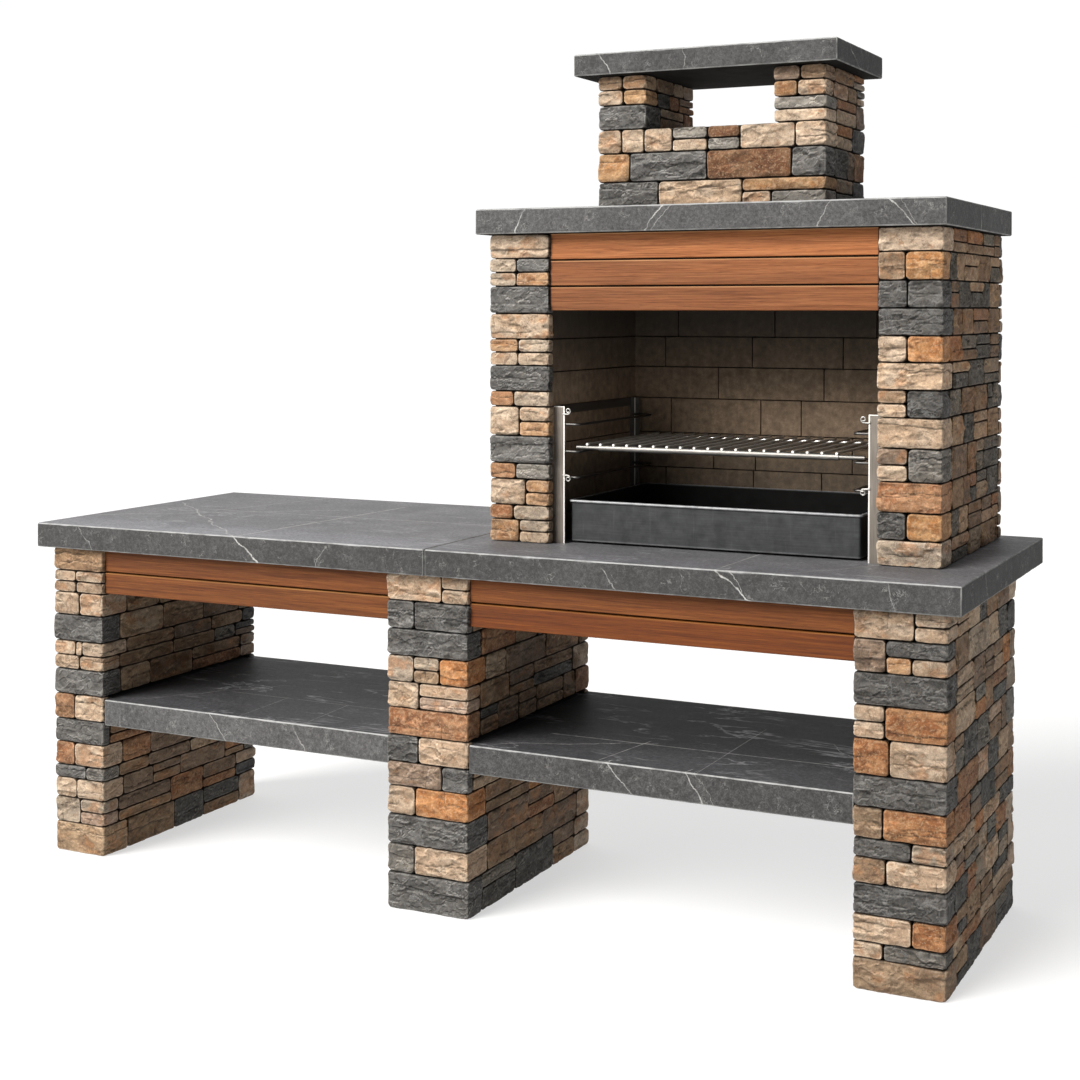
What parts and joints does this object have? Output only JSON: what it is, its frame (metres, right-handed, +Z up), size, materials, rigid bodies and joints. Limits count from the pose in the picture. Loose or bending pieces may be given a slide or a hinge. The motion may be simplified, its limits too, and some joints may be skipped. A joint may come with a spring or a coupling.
{
  "type": "masonry barbecue",
  "caption": "Free-standing stone-faced masonry barbecue with a slab worktop over shelf bays, a lined firebox with a sliding grate and ember tray, a mantle slab and a short chimney.",
  "frame": {"origin": "on the ground under the middle of the worktop, the bottom centre of the whole part's box", "axes": "+Z up, +Y to the back, +X to the right as seen from the front, where the firebox is"},
  "size_m": [2.374, 0.842, 1.985],
  "materials": {
    "split_stone": "split face, matte",
    "concrete": "rough, matte",
    "dark_slab": "honed, satin",
    "wood_board": "stained, satin",
    "firebrick": "matte",
    "hood_steel": "matte",
    "stainless": "brushed",
    "tray_steel": "satin"
  },
  "bodies": {
    "masonry": {"centre_leg_core": "concrete", "centre_leg_stones": "split_stone", "chimney_back_wall": "concrete", "chimney_cap": "dark_slab", "chimney_front_wall": "concrete", "chimney_left_wall": "concrete", "chimney_right_wall": "concrete", "chimney_stones": "split_stone", "firebox_back_stones": "split_stone", "firebox_back_wall": "concrete", "firebox_left_stones": "split_stone", "firebox_left_wall": "concrete", "firebox_lintel": "concrete", "firebox_right_stones": "split_stone", "firebox_right_wall": "concrete", "hood_back_plate": "hood_steel", "hood_front_plate": "hood_steel", "hood_left_plate": "hood_steel", "hood_right_plate": "hood_steel", "left_fascia_lower_board": "wood_board", "left_fascia_upper_board": "wood_board", "left_front_upright": "stainless", "left_grate_brackets": "stainless", "left_leg_core": "concrete", "left_leg_stones": "split_stone", "left_lintel": "concrete", "left_pigtail_hooks": "stainless", "left_rear_upright": "stainless", "left_shelf": "dark_slab", "left_top_rail": "stainless", "left_worktop": "dark_slab", "lining_back_bricks": "firebrick", "lining_left_bricks": "firebrick", "lining_right_bricks": "firebrick", "mantle_fascia_bottom_board": "wood_board", "mantle_fascia_middle_board": "wood_board", "mantle_fascia_top_board": "wood_board", "mantle_slab": "dark_slab", "right_fascia_lower_board": "wood_board", "right_fascia_upper_board": "wood_board", "right_front_upright": "stainless", "right_grate_brackets": "stainless", "right_leg_core": "concrete", "right_leg_stones": "split_stone", "right_lintel": "concrete", "right_pigtail_hooks": "stainless", "right_rear_upright": "stainless", "right_shelf": "dark_slab", "right_top_rail": "stainless", "right_worktop": "dark_slab", "upright_screw_heads": "stainless"},
    "grate": {"grate_front_rod": "stainless", "grate_front_tube": "stainless", "grate_rear_bar": "stainless", "grate_rods": "stainless"},
    "ember_tray_body": {"ember_tray": "tray_steel", "tray_feet": "tray_steel"}
  },
  "joints": [
    {"name": "grate_slide", "type": "slide", "parent": "masonry", "child": "grate", "axis": [0, -1, 0], "range_m": [0, 0.4]},
    {"name": "ember_tray_slide", "type": "slide", "parent": "masonry", "child": "ember_tray_body", "axis": [0, -1, 0], "range_m": [0, 0.4]}
  ]
}
